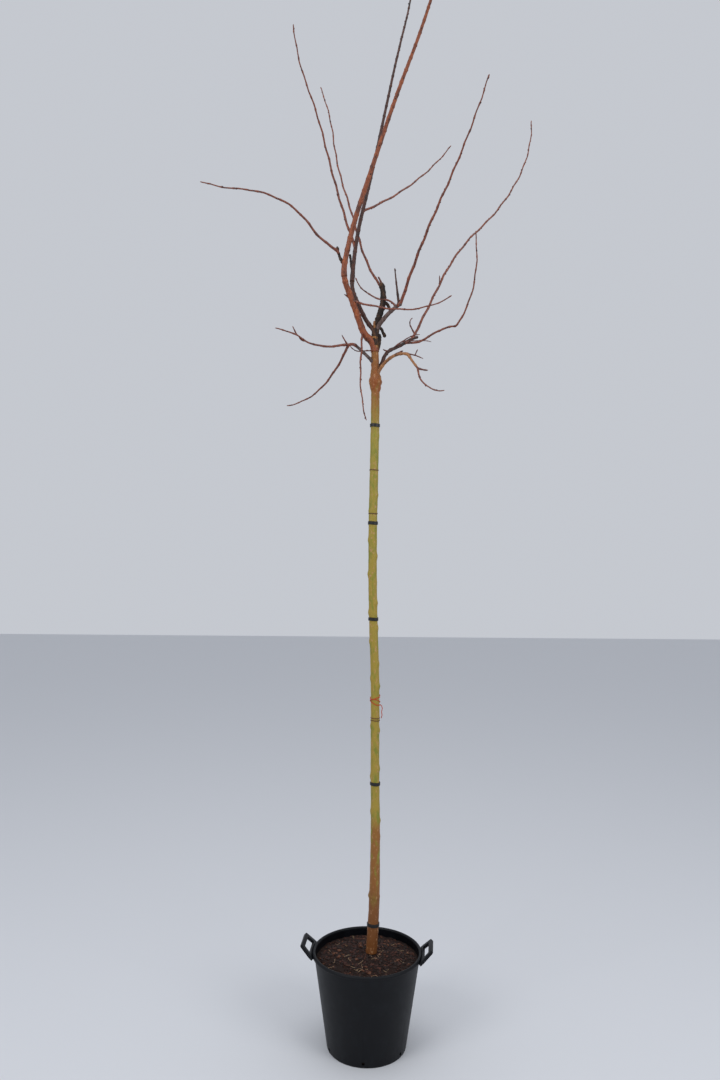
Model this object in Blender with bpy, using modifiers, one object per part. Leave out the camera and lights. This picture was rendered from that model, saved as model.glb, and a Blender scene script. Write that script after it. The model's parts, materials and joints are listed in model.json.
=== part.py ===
"""Young top-grafted standard tree, bare in winter, in a round black nursery pot.

Units are metres, +Z is up, and the origin is the centre of the pot's flat underside.
The front of the tree faces -Y. The crown is a set of limbs: each one starts on the limb
that carries it and runs on in arcs, from its angles of lean at evenly spaced stations.
"""
import math
from collections import namedtuple

import bmesh
import bpy
from mathutils import Matrix, Vector

OBJECT_NAME = "potted_robinia_standard"

# Gap between pieces that touch
CLEARANCE = 0.0004

# Pot
POT_HEIGHT = 0.364
RIM_RADIUS = 0.2115
BEAD_RADIUS = 0.0065
BEAD_DEPTH = 0.012
BEAD_ARC_STEP = 30
WALL_TOP_RADIUS = 0.2035
FOOT_RADIUS = 0.152
WALL_THICKNESS = 0.003
FLOOR_THICKNESS = 0.004
POT_SEGMENTS = 48
POT_TURN = math.radians(-5.2)

# Drain holes low in the pot's wall
DRAIN_COUNT = 6
DRAIN_DIAMETER = 0.012
DRAIN_HEIGHT = 0.018
DRAIN_FIRST_ANGLE = math.radians(-155)
DRAIN_SEGMENTS = 12

# Lifting handles: flat tapered frames that rise outward from the rim
HANDLE_REACH = 0.054
HANDLE_ROOT_LENGTH = 0.132
HANDLE_OUTER_LENGTH = 0.108
HANDLE_BAR = 0.015
HANDLE_THICKNESS = 0.011
HANDLE_SLOPE = math.radians(45)
HANDLE_ROOT_HEIGHT = 0.355
HANDLE_SHOULDER = 0.004
HANDLE_CORNER = 0.006
HANDLE_ROOT_BAR = 0.009
HANDLE_SIDE_BAR = 0.019

# Soil
SOIL_CROWN_HEIGHT = 0.356
SOIL_EDGE_HEIGHT = 0.334
SOIL_SEAT_RADIUS = 0.050
SOIL_STEPS = 4

# Stem, from its flat cut at the soil to the fork
STEM_FOOT_X = 0.016
STEM_LENGTH = 2.373
STEM_LEANS = (4, 0.5, -1, 0, -2.5, -0.5, 1, 0.5, -2.5)
STEM_DIAMETER = 0.033
STEM_FLARE = 0.010
STEM_FLARE_HEIGHT = 0.42
GRAFT_HEIGHT = 2.560
GRAFT_SWELL = 0.017
GRAFT_HALF_LENGTH = 0.028
SCION_DIAMETER = 0.0315
FORK_DIAMETER = 0.027
STEM_RING_STEP = 0.042
STEM_SIDES = 12

# Black tie bands left on the stem
TIE_HEIGHTS = (0.465, 1.007, 1.641, 2.011, 2.387)
TIE_WIDTH = 0.012
TIE_THICKNESS = 0.0016
TIE_SIDES = 16

# Limbs: the limb that carries each one, where on it (0 at its foot, 1 at its end), the length,
# the leans (degrees from upright, + to the right) and the tilts to the back (degrees) at evenly
# spaced stations, and the diameters at both ends
Limb = namedtuple("Limb", "parent at length leans backs base tip")
LIMBS = {
    # Dead stump of the old leader at the fork, and the first limbs round it
    "dead_snag": Limb("stem", 1.0, 0.225, (10, 17, -19), (8, 7), 0.026, 0.020),
    "leader_a_lower": Limb("stem", 0.99, 0.305, (-66, -20, -21, -23, -3), (-10, -11), 0.027, 0.020),
    "leader_b_lower": Limb("dead_snag", 0.1, 0.245, (-48, -25, -23, 9), (6, 6), 0.017, 0.015),
    "bough_right": Limb("dead_snag", 0.12, 0.145, (32, 46, 62), (-21, -19), 0.017, 0.014),
    # Branches of the stem just below the fork
    "bough_low_right": Limb("stem", 0.945, 0.235, (52, 15, 66, 54, 75), (12, 12), 0.015, 0.011),
    "bough_front": Limb("stem", 0.93, 0.185, (16, 51, 109), (-22, -26), 0.014, 0.010),
    "bough_left": Limb("stem", 0.955, 0.115, (-45, -54), (-18, -18), 0.013, 0.011),
    # The two leaders, on from their knots
    "leader_a_upper": Limb("leader_a_lower", 1.0, 1.570, (10, 19, 19, 22, 17, 12, 10), (-6, -12),
                           0.020, 0.005),
    "leader_b_upper": Limb("leader_b_lower", 1.0, 1.655, (3, 13, 11, 11, 13, 4, 7), (7, 10),
                           0.016, 0.004),
    # Dead and cut stubs
    "stub_stem": Limb("stem", 0.975, 0.080, (49, 1, -2), (9, 8), 0.012, 0.016),
    "stub_snag_low": Limb("dead_snag", 0.23, 0.060, (129, 164), (19, 15), 0.009, 0.013),
    "stub_snag_high": Limb("dead_snag", 0.66, 0.050, (113, 174), (11, 13), 0.013, 0.010),
    "stub_fork": Limb("dead_snag", 0.12, 0.040, (-34, 15), (-32, -40), 0.011, 0.007),
    "stub_a": Limb("leader_a_upper", 0.01, 0.080, (-35, -6), (4, 7), 0.011, 0.009),
    "stub_b": Limb("leader_b_upper", 0.005, 0.090, (-9, -6), (13, 14), 0.010, 0.008),
    "spike_right": Limb("bough_right", 0.91, 0.135, (-9, -7), (-11, -13), 0.010, 0.004),
    # Young shoots of the left half
    "shoot_a_left": Limb("stub_a", 0.76, 0.585, (-68, -40, -74, -98, -82), (-25, -25), 0.009, 0.003),
    "shoot_b_left": Limb("leader_b_upper", 0.07, 0.825, (-20, -17, -15, -24, -5), (1, -30), 0.009, 0.003),
    "shoot_snag": Limb("dead_snag", 0.87, 0.960, (-33, -14, -17, -7, -21), (19, 6), 0.009, 0.003),
    "twig_back": Limb("bough_right", 0.82, 0.250, (-24, -74, -47, -23), (42, 11), 0.007, 0.003),
    "shoot_left": Limb("bough_left", 1.0, 0.345, (-107, -100, -62, -93), (-29, -36), 0.009, 0.003),
    "shoot_low_left": Limb("shoot_left", 0.07, 0.430, (-153, -133, -93), (46, 31), 0.009, 0.003),
    "shoot_hanging": Limb("leader_a_lower", 0.22, 0.385, (-176, -179, -195), (-33, -1), 0.007, 0.003),
    # Young shoots of the right half
    "shoot_b_right": Limb("leader_b_upper", 0.165, 0.520, (61, 34), (19, 16), 0.008, 0.003),
    "shoot_right": Limb("bough_right", 0.96, 0.825, (18, 26, 18), (-20, -25), 0.011, 0.003),
    "twig_cross": Limb("leader_a_lower", 0.61, 0.405, (113, 98, 62), (-19, -21), 0.007, 0.003),
    "shoot_far_right": Limb("bough_low_right", 0.89, 1.115, (26, 25, 45, 27, 0), (11, 10), 0.009, 0.003),
    "shoot_low_right": Limb("bough_low_right", 0.75, 0.220, (104, 56, 96), (-25, -27), 0.008, 0.006),
    "shoot_low_right_tip": Limb("shoot_low_right", 0.99, 0.355, (35, 8, -11), (-16, -16), 0.006, 0.003),
    "bough_front_end": Limb("bough_front", 0.97, 0.080, (153, 146), (-26, -28), 0.010, 0.008),
    "twig_front_down": Limb("bough_front_end", 0.99, 0.170, (180, 138, 85), (-26, -31), 0.006, 0.003),
}
BOUGH_SIDES = 8
SHOOT_SIDES = 6
# A limb this thick at its base gets the sides of a bough
BOUGH_DIAMETER = 0.013
LIMB_RING_STEP = 0.06
FEWEST_RINGS = 3

# Colours, as sRGB hex
COLOURS = {
    "pot": "0B0E16",
    "soil": "2A1710",
    "stem": "9C8A2C",
    "tie": "0A0A0B",
    "orange_bark": "8C4420",
    "dark_bark": "2B1410",
    "grey_bark": "4F3A35",
    "dead_wood": "2A1A12",
    "tan_bark": "8A5A34",
    "red_shoot": "5A2418",
}
LIMB_COLOURS = {
    "dead_snag": "dead_wood",
    "leader_a_lower": "orange_bark",
    "leader_a_upper": "orange_bark",
    "leader_b_lower": "dark_bark",
    "leader_b_upper": "dark_bark",
    "bough_right": "grey_bark",
    "bough_low_right": "dark_bark",
    "bough_front": "tan_bark",
    "bough_front_end": "tan_bark",
    "bough_left": "grey_bark",
    "stub_a": "dead_wood",
    "stub_b": "dead_wood",
    "stub_stem": "dead_wood",
    "stub_snag_low": "dead_wood",
    "stub_snag_high": "dead_wood",
    "stub_fork": "stem",
}


def linear_colour(hex_code):
    """An sRGB hex code as the linear RGBA that Blender's sockets take."""
    channels = [int(hex_code[i:i + 2], 16) / 255 for i in (0, 2, 4)]
    linear = [c / 12.92 if c <= 0.04045 else ((c + 0.055) / 1.055) ** 2.4 for c in channels]
    return (*linear, 1.0)


def make_material(name, colour, roughness):
    """A Principled material in one colour of the COLOURS table."""
    material = bpy.data.materials.new(name)
    material.use_nodes = True
    shader = material.node_tree.nodes["Principled BSDF"]
    shader.inputs["Base Color"].default_value = linear_colour(COLOURS[colour])
    shader.inputs["Roughness"].default_value = roughness
    shader.inputs["Metallic"].default_value = 0.0
    material.diffuse_color = linear_colour(COLOURS[colour])
    return material


def clear_scene():
    """Remove every object of the open scene."""
    for item in list(bpy.data.objects):
        bpy.data.objects.remove(item, do_unlink=True)


def new_collection(name):
    """A collection in the scene."""
    collection = bpy.data.collections.new(name)
    bpy.context.scene.collection.children.link(collection)
    return collection


def evaluated_mesh(item):
    """A new mesh of the object with its modifiers or bevel applied."""
    graph = bpy.context.evaluated_depsgraph_get()
    graph.update()
    return bpy.data.meshes.new_from_object(item.evaluated_get(graph), depsgraph=graph)


def weld(mesh):
    """Join the loose caps and point every face outward."""
    shape = bmesh.new()
    shape.from_mesh(mesh)
    bmesh.ops.remove_doubles(shape, verts=shape.verts, dist=1e-5)
    bmesh.ops.recalc_face_normals(shape, faces=shape.faces)
    shape.to_mesh(mesh)
    shape.free()


def shade_round(mesh):
    """Smooth shading with the true edges kept sharp."""
    mesh.shade_smooth()
    mesh.set_sharp_from_angle(angle=math.radians(50))


def tube(name, points, radii, sides, collection):
    """A round rod of changing radius through the points, as a closed mesh object."""
    curve = bpy.data.curves.new(name, "CURVE")
    curve.dimensions = "3D"
    curve.bevel_depth = 1.0
    curve.bevel_resolution = (sides - 4) // 2
    curve.use_fill_caps = True
    curve.twist_mode = "MINIMUM"
    spline = curve.splines.new("POLY")
    spline.points.add(len(points) - 1)
    for place, point, radius in zip(spline.points, points, radii):
        place.co = (*point, 1.0)
        place.radius = radius
    source = bpy.data.objects.new(name + "_curve", curve)
    collection.objects.link(source)
    mesh = evaluated_mesh(source)
    bpy.data.objects.remove(source, do_unlink=True)
    bpy.data.curves.remove(curve)
    weld(mesh)
    mesh.name = name
    item = bpy.data.objects.new(name, mesh)
    collection.objects.link(item)
    return item


def turned(name, profile, collection):
    """A solid turned about Z from an (r, z) profile that ends on the axis at both ends."""
    mesh = bpy.data.meshes.new(name)
    corners = [(r, 0.0, z) for r, z in profile]
    mesh.from_pydata(corners, [(i, i + 1) for i in range(len(corners) - 1)], [])
    item = bpy.data.objects.new(name, mesh)
    collection.objects.link(item)
    screw = item.modifiers.new("turn", "SCREW")
    screw.axis = "Z"
    screw.steps = POT_SEGMENTS
    screw.render_steps = POT_SEGMENTS
    screw.use_merge_vertices = True
    screw.merge_threshold = 1e-5
    return item


def cut(item, cutters):
    """Take the cutters' shapes out of the object and remove the cutters."""
    for cutter in cutters:
        cutter.hide_render = True
        cutter.display_type = "WIRE"
        difference = item.modifiers.new("cut", "BOOLEAN")
        difference.operation = "DIFFERENCE"
        difference.solver = "EXACT"
        difference.object = cutter
    mesh = evaluated_mesh(item)
    item.modifiers.clear()
    item.data = mesh
    for cutter in cutters:
        bpy.data.objects.remove(cutter, do_unlink=True)


def keep_piece_at(mesh, point):
    """Keep only the loose piece that has the vertex nearest to the point."""
    shape = bmesh.new()
    shape.from_mesh(mesh)
    bmesh.ops.remove_doubles(shape, verts=shape.verts, dist=1e-5)
    bmesh.ops.dissolve_degenerate(shape, edges=shape.edges, dist=1e-5)
    first = min(shape.verts, key=lambda vertex: (vertex.co - point).length)
    kept = {first}
    front = [first]
    while front:
        for edge in front.pop().link_edges:
            for vertex in edge.verts:
                if vertex not in kept:
                    kept.add(vertex)
                    front.append(vertex)
    loose = [vertex for vertex in shape.verts if vertex not in kept]
    bmesh.ops.delete(shape, geom=loose, context="VERTS")
    bmesh.ops.recalc_face_normals(shape, faces=shape.faces)
    shape.to_mesh(mesh)
    shape.free()


def at_station(values, share):
    """The value at a share of the way along evenly spaced stations."""
    place = share * (len(values) - 1)
    index = min(int(place), len(values) - 2)
    return values[index] + (values[index + 1] - values[index]) * (place - index)


def heading(lean, back):
    """The direction that leans to the right of upright and tilts to the back, in degrees."""
    right = math.radians(lean)
    away = math.radians(back)
    return Vector((math.sin(right) * math.cos(away), math.sin(away), math.cos(right) * math.cos(away)))


def run_line(start, length, leans, backs, steps):
    """Points of a line that turns evenly through its leans and tilts."""
    points = [Vector(start)]
    for i in range(steps):
        share = (i + 0.5) / steps
        way = heading(at_station(leans, share), at_station(backs, share))
        points.append(points[-1] + way * (length / steps))
    return points


def point_on(line, share):
    """The point at a share of the way along a line of even steps."""
    place = share * (len(line) - 1)
    index = min(int(place), len(line) - 2)
    return line[index].lerp(line[index + 1], place - index)


def stem_diameter(height):
    """The stem's diameter at a height above the ground."""
    above_soil = height - SOIL_CROWN_HEIGHT
    stock = STEM_DIAMETER + STEM_FLARE * math.exp(-((above_soil / STEM_FLARE_HEIGHT) ** 2))
    swell = GRAFT_SWELL * math.exp(-(((height - GRAFT_HEIGHT) / GRAFT_HALF_LENGTH) ** 2))
    if height <= GRAFT_HEIGHT:
        return stock + swell
    fork_height = SOIL_CROWN_HEIGHT + STEM_LENGTH
    share = (height - GRAFT_HEIGHT) / (fork_height - GRAFT_HEIGHT)
    return SCION_DIAMETER + (FORK_DIAMETER - SCION_DIAMETER) * min(share, 1.0) + swell


def stem_line():
    """Centre line and radii of the stem."""
    start = (STEM_FOOT_X, 0.0, SOIL_CROWN_HEIGHT + CLEARANCE)
    steps = round(STEM_LENGTH / STEM_RING_STEP)
    points = run_line(start, STEM_LENGTH, STEM_LEANS, (0, 0), steps)
    return points, [stem_diameter(point.z) / 2 for point in points]


def limb_line(limb, parent_points):
    """Centre line and radii of a limb that starts inside the limb that carries it."""
    start = point_on(parent_points, limb.at)
    steps = max(FEWEST_RINGS, round(limb.length / LIMB_RING_STEP))
    points = run_line(start, limb.length, limb.leans, limb.backs, steps)
    points[0] = points[0] - (points[1] - points[0]).normalized() * (limb.base / 2)
    radii = [(limb.base + (limb.tip - limb.base) * i / steps) / 2 for i in range(steps + 1)]
    return points, radii


def sleeve(points, radii, sides, collection):
    """The same rod, wider and longer by the gap, to cut its neighbours with."""
    longer = list(points)
    longer[0] = points[0] - (points[1] - points[0]).normalized() * CLEARANCE
    longer[-1] = points[-1] + (points[-1] - points[-2]).normalized() * CLEARANCE
    wider = [radius + CLEARANCE for radius in radii]
    return tube("sleeve", longer, wider, sides, collection)


def boxes_meet(points, radii, other_points, other_radii):
    """Whether the two rods' boxes, with their radii, come together."""
    reach = max(radii) + max(other_radii)
    for axis in range(3):
        low = min(point[axis] for point in points) - reach
        high = max(point[axis] for point in points) + reach
        other_low = min(point[axis] for point in other_points)
        other_high = max(point[axis] for point in other_points)
        if low > other_high or other_low > high:
            return False
    return True


def build_stem(collection):
    """The stem, flat at the soil."""
    points, radii = stem_line()
    item = tube("stem", points, radii, STEM_SIDES, collection)
    shape = bmesh.new()
    shape.from_mesh(item.data)
    foot = (STEM_FOOT_X, 0.0, SOIL_CROWN_HEIGHT + CLEARANCE)
    for vertex in shape.verts:
        if (vertex.co - Vector(foot)).length < radii[0] * 1.2:
            vertex.co.z = foot[2]
    shape.to_mesh(item.data)
    shape.free()
    item.data.materials.append(make_material("stem_bark", "stem", 0.6))
    shade_round(item.data)
    return points, radii


def build_limbs(stem, collection, cutters):
    """Every limb, each one cut clear of the limbs made before it."""
    lines = {"stem": (*stem, STEM_SIDES)}
    for name, limb in LIMBS.items():
        points, radii = limb_line(limb, lines[limb.parent][0])
        sides = BOUGH_SIDES if limb.base >= BOUGH_DIAMETER else SHOOT_SIDES
        item = tube(name, points, radii, sides, collection)
        near = [line for line in lines.values() if boxes_meet(points, radii, line[0], line[1])]
        cut(item, [sleeve(*line, cutters) for line in near])
        keep_piece_at(item.data, points[-1])
        colour = LIMB_COLOURS.get(name, "red_shoot")
        item.data.materials.append(make_material(name + "_bark", colour, 0.55))
        shade_round(item.data)
        lines[name] = (points, radii, sides)


def build_ties(stem, collection, cutters):
    """Thin bands round the stem."""
    points, radii = stem
    for number, height in enumerate(TIE_HEIGHTS, start=1):
        share = (height - points[0].z) / (points[-1].z - points[0].z)
        middle = point_on(points, share)
        way = (point_on(points, share + 0.01) - point_on(points, share - 0.01)).normalized()
        ends = [middle - way * (TIE_WIDTH / 2), middle + way * (TIE_WIDTH / 2)]
        outer = stem_diameter(height) / 2 + CLEARANCE + TIE_THICKNESS
        item = tube("tie_band_%d" % number, ends, [outer, outer], TIE_SIDES, collection)
        cut(item, [sleeve(points, radii, STEM_SIDES, cutters)])
        item.data.materials.append(make_material("tie_plastic_%d" % number, "tie", 0.4))
        shade_round(item.data)


def wall_radius(height):
    """Outer radius of the pot's straight wall at a height."""
    share = height / (POT_HEIGHT - BEAD_DEPTH)
    return FOOT_RADIUS + (WALL_TOP_RADIUS - FOOT_RADIUS) * share


def build_pot(collection, cutters):
    """The pot's shell: flat floor, straight flared wall and a rolled rim."""
    bead_centre = RIM_RADIUS - BEAD_RADIUS
    bead_height = POT_HEIGHT - BEAD_RADIUS
    bead = []
    for degrees in range(180, -1, -BEAD_ARC_STEP):
        across = BEAD_RADIUS * math.cos(math.radians(degrees))
        up = BEAD_RADIUS * math.sin(math.radians(degrees))
        bead.append((bead_centre + across, bead_height + up))
    under_bead = POT_HEIGHT - BEAD_DEPTH
    inner_foot = wall_radius(FLOOR_THICKNESS) - WALL_THICKNESS
    profile = [(0.0, FLOOR_THICKNESS), (inner_foot, FLOOR_THICKNESS)]
    profile += [(WALL_TOP_RADIUS - WALL_THICKNESS, under_bead)]
    profile += bead
    profile += [(RIM_RADIUS, under_bead), (WALL_TOP_RADIUS, under_bead)]
    profile += [(FOOT_RADIUS, 0.0), (0.0, 0.0)]
    item = turned("pot_shell", profile, collection)
    cut(item, [drain_cutter(i, cutters) for i in range(DRAIN_COUNT)])
    item.data.materials.append(make_material("pot_plastic", "pot", 0.4))
    shade_round(item.data)


def drain_cutter(index, collection):
    """A short round bar that lies through the wall where a drain hole is."""
    shape = bmesh.new()
    bmesh.ops.create_cone(shape, cap_ends=True, segments=DRAIN_SEGMENTS, radius1=DRAIN_DIAMETER / 2,
                          radius2=DRAIN_DIAMETER / 2, depth=8 * WALL_THICKNESS)
    mesh = bpy.data.meshes.new("drain_cutter")
    shape.to_mesh(mesh)
    shape.free()
    item = bpy.data.objects.new("drain_cutter", mesh)
    collection.objects.link(item)
    angle = DRAIN_FIRST_ANGLE + math.tau * index / DRAIN_COUNT
    lie_down = Matrix.Rotation(math.radians(90), 4, "Y")
    radius = wall_radius(DRAIN_HEIGHT) - WALL_THICKNESS / 2
    place = Matrix.Translation((radius, 0.0, DRAIN_HEIGHT))
    mesh.transform(Matrix.Rotation(angle, 4, "Z") @ place @ lie_down)
    return item


def handle_outline():
    """Outer and inner outlines of the tapered frame, as (along, outward) corners."""
    root = HANDLE_ROOT_LENGTH / 2
    outer = HANDLE_OUTER_LENGTH / 2
    below = -HANDLE_THICKNESS
    outside = [(-root, below), (-root, HANDLE_SHOULDER)]
    outside += [(-outer, HANDLE_REACH - HANDLE_SHOULDER), (HANDLE_CORNER - outer, HANDLE_REACH)]
    outside += [(-along, outward) for along, outward in reversed(outside)]
    hole_root = root - HANDLE_SIDE_BAR
    hole_outer = outer - HANDLE_BAR
    top = HANDLE_REACH - HANDLE_BAR
    hole = [(-hole_root, HANDLE_ROOT_BAR), (-hole_outer, top)]
    hole += [(-along, outward) for along, outward in reversed(hole)]
    return outside, hole


def build_handle(name, side, collection, cutters):
    """One handle, on the right for side 1 and on the left for side -1."""
    curve = bpy.data.curves.new(name, "CURVE")
    curve.dimensions = "2D"
    curve.fill_mode = "BOTH"
    curve.extrude = HANDLE_THICKNESS / 2
    for outline in handle_outline():
        spline = curve.splines.new("POLY")
        spline.points.add(len(outline) - 1)
        for place, corner in zip(spline.points, outline):
            place.co = (*corner, 0.0, 1.0)
        spline.use_cyclic_u = True
    source = bpy.data.objects.new(name + "_curve", curve)
    collection.objects.link(source)
    mesh = evaluated_mesh(source)
    bpy.data.objects.remove(source, do_unlink=True)
    bpy.data.curves.remove(curve)
    weld(mesh)
    # The outline's "outward" way turns to radial, then up the slope, then round to its side
    face_out = Matrix.Rotation(math.radians(-90), 4, "Z")
    slope = Matrix.Rotation(-HANDLE_SLOPE, 4, "Y")
    place = Matrix.Translation((RIM_RADIUS, 0.0, HANDLE_ROOT_HEIGHT))
    turn = Matrix.Rotation(POT_TURN + (0.0 if side > 0 else math.pi), 4, "Z")
    mesh.transform(turn @ place @ slope @ face_out)
    item = bpy.data.objects.new(name, mesh)
    mesh.name = name
    collection.objects.link(item)
    blank = turned("pot_blank", pot_blank_profile(), cutters)
    cut(item, [blank])
    item.data.materials.append(make_material(name + "_plastic", "pot", 0.4))
    shade_round(item.data)


def pot_blank_profile():
    """The pot's outside as a solid, wider by the gap, to cut the handles' roots with."""
    top = POT_HEIGHT + CLEARANCE
    under_bead = POT_HEIGHT - BEAD_DEPTH - CLEARANCE
    return [(0.0, top), (RIM_RADIUS + CLEARANCE, top), (RIM_RADIUS + CLEARANCE, under_bead),
            (WALL_TOP_RADIUS + CLEARANCE, under_bead), (FOOT_RADIUS + CLEARANCE, 0.0), (0.0, 0.0)]


def soil_height(share):
    """Height of the soil at a share of the way from the flat seat to the wall."""
    drop = 0.5 - 0.5 * math.cos(math.pi * share)
    return SOIL_CROWN_HEIGHT - (SOIL_CROWN_HEIGHT - SOIL_EDGE_HEIGHT) * drop


def build_soil(collection):
    """The soil that fills the pot, a little higher round the stem."""
    inset = WALL_THICKNESS + CLEARANCE
    edge = wall_radius(SOIL_EDGE_HEIGHT) - inset
    profile = [(0.0, SOIL_CROWN_HEIGHT)]
    for i in range(SOIL_STEPS + 1):
        share = i / SOIL_STEPS
        radius = SOIL_SEAT_RADIUS + (edge - SOIL_SEAT_RADIUS) * share
        profile.append((radius, soil_height(share)))
    bottom = FLOOR_THICKNESS + CLEARANCE
    profile += [(wall_radius(bottom) - inset, bottom), (0.0, bottom)]
    item = turned("soil_fill", profile, collection)
    item.data.materials.append(make_material("soil", "soil", 0.95))


def main():
    """Build the tree and its pot."""
    clear_scene()
    model = new_collection(OBJECT_NAME)
    cutters = new_collection("cutters")
    build_pot(model, cutters)
    build_handle("pot_handle_right", 1, model, cutters)
    build_handle("pot_handle_left", -1, model, cutters)
    build_soil(model)
    stem = build_stem(model)
    build_ties(stem, model, cutters)
    build_limbs(stem, model, cutters)


main()
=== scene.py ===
"""Looks of a bare top-grafted standard tree in a round nursery pot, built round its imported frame.

Units are metres, +Z is up and the origin is the centre of the pot's flat underside.
Each limb's bark follows the line of its solid: a start on the limb that carries it, a length,
and the angles of lean and tilt that the line turns through. Young shoots add small kinks.
"""
import json
import math
import random
from collections import namedtuple

import bmesh
import bpy
from mathutils import Matrix, Vector, noise

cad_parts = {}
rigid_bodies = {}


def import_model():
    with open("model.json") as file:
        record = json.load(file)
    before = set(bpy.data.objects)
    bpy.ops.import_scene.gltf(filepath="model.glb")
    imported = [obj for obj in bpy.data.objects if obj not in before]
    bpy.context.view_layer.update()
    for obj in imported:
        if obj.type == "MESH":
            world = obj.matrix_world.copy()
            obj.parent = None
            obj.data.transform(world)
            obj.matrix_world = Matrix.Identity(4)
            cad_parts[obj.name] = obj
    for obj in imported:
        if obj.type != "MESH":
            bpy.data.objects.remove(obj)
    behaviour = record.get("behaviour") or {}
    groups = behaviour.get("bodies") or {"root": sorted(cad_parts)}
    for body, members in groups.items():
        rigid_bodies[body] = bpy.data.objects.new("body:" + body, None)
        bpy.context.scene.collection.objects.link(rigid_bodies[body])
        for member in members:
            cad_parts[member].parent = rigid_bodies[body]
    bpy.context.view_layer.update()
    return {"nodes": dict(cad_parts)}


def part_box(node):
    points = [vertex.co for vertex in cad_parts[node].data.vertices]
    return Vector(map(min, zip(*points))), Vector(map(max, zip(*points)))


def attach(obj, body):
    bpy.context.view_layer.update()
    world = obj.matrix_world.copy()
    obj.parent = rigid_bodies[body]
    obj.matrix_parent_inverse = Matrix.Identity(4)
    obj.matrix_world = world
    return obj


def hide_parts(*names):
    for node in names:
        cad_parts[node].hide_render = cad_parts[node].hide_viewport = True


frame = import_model()

bl_info = {
    "name": "Potted Standard Tree",
    "version": (1, 0, 0),
    "blender": (4, 5, 0),
    "location": "3D View > Sidebar > Tree",
    "description": "Bark, twigs, pot and potting bark of a bare standard tree",
    "category": "Add Mesh",
}

BODY = "root"
SEED = 41

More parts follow.
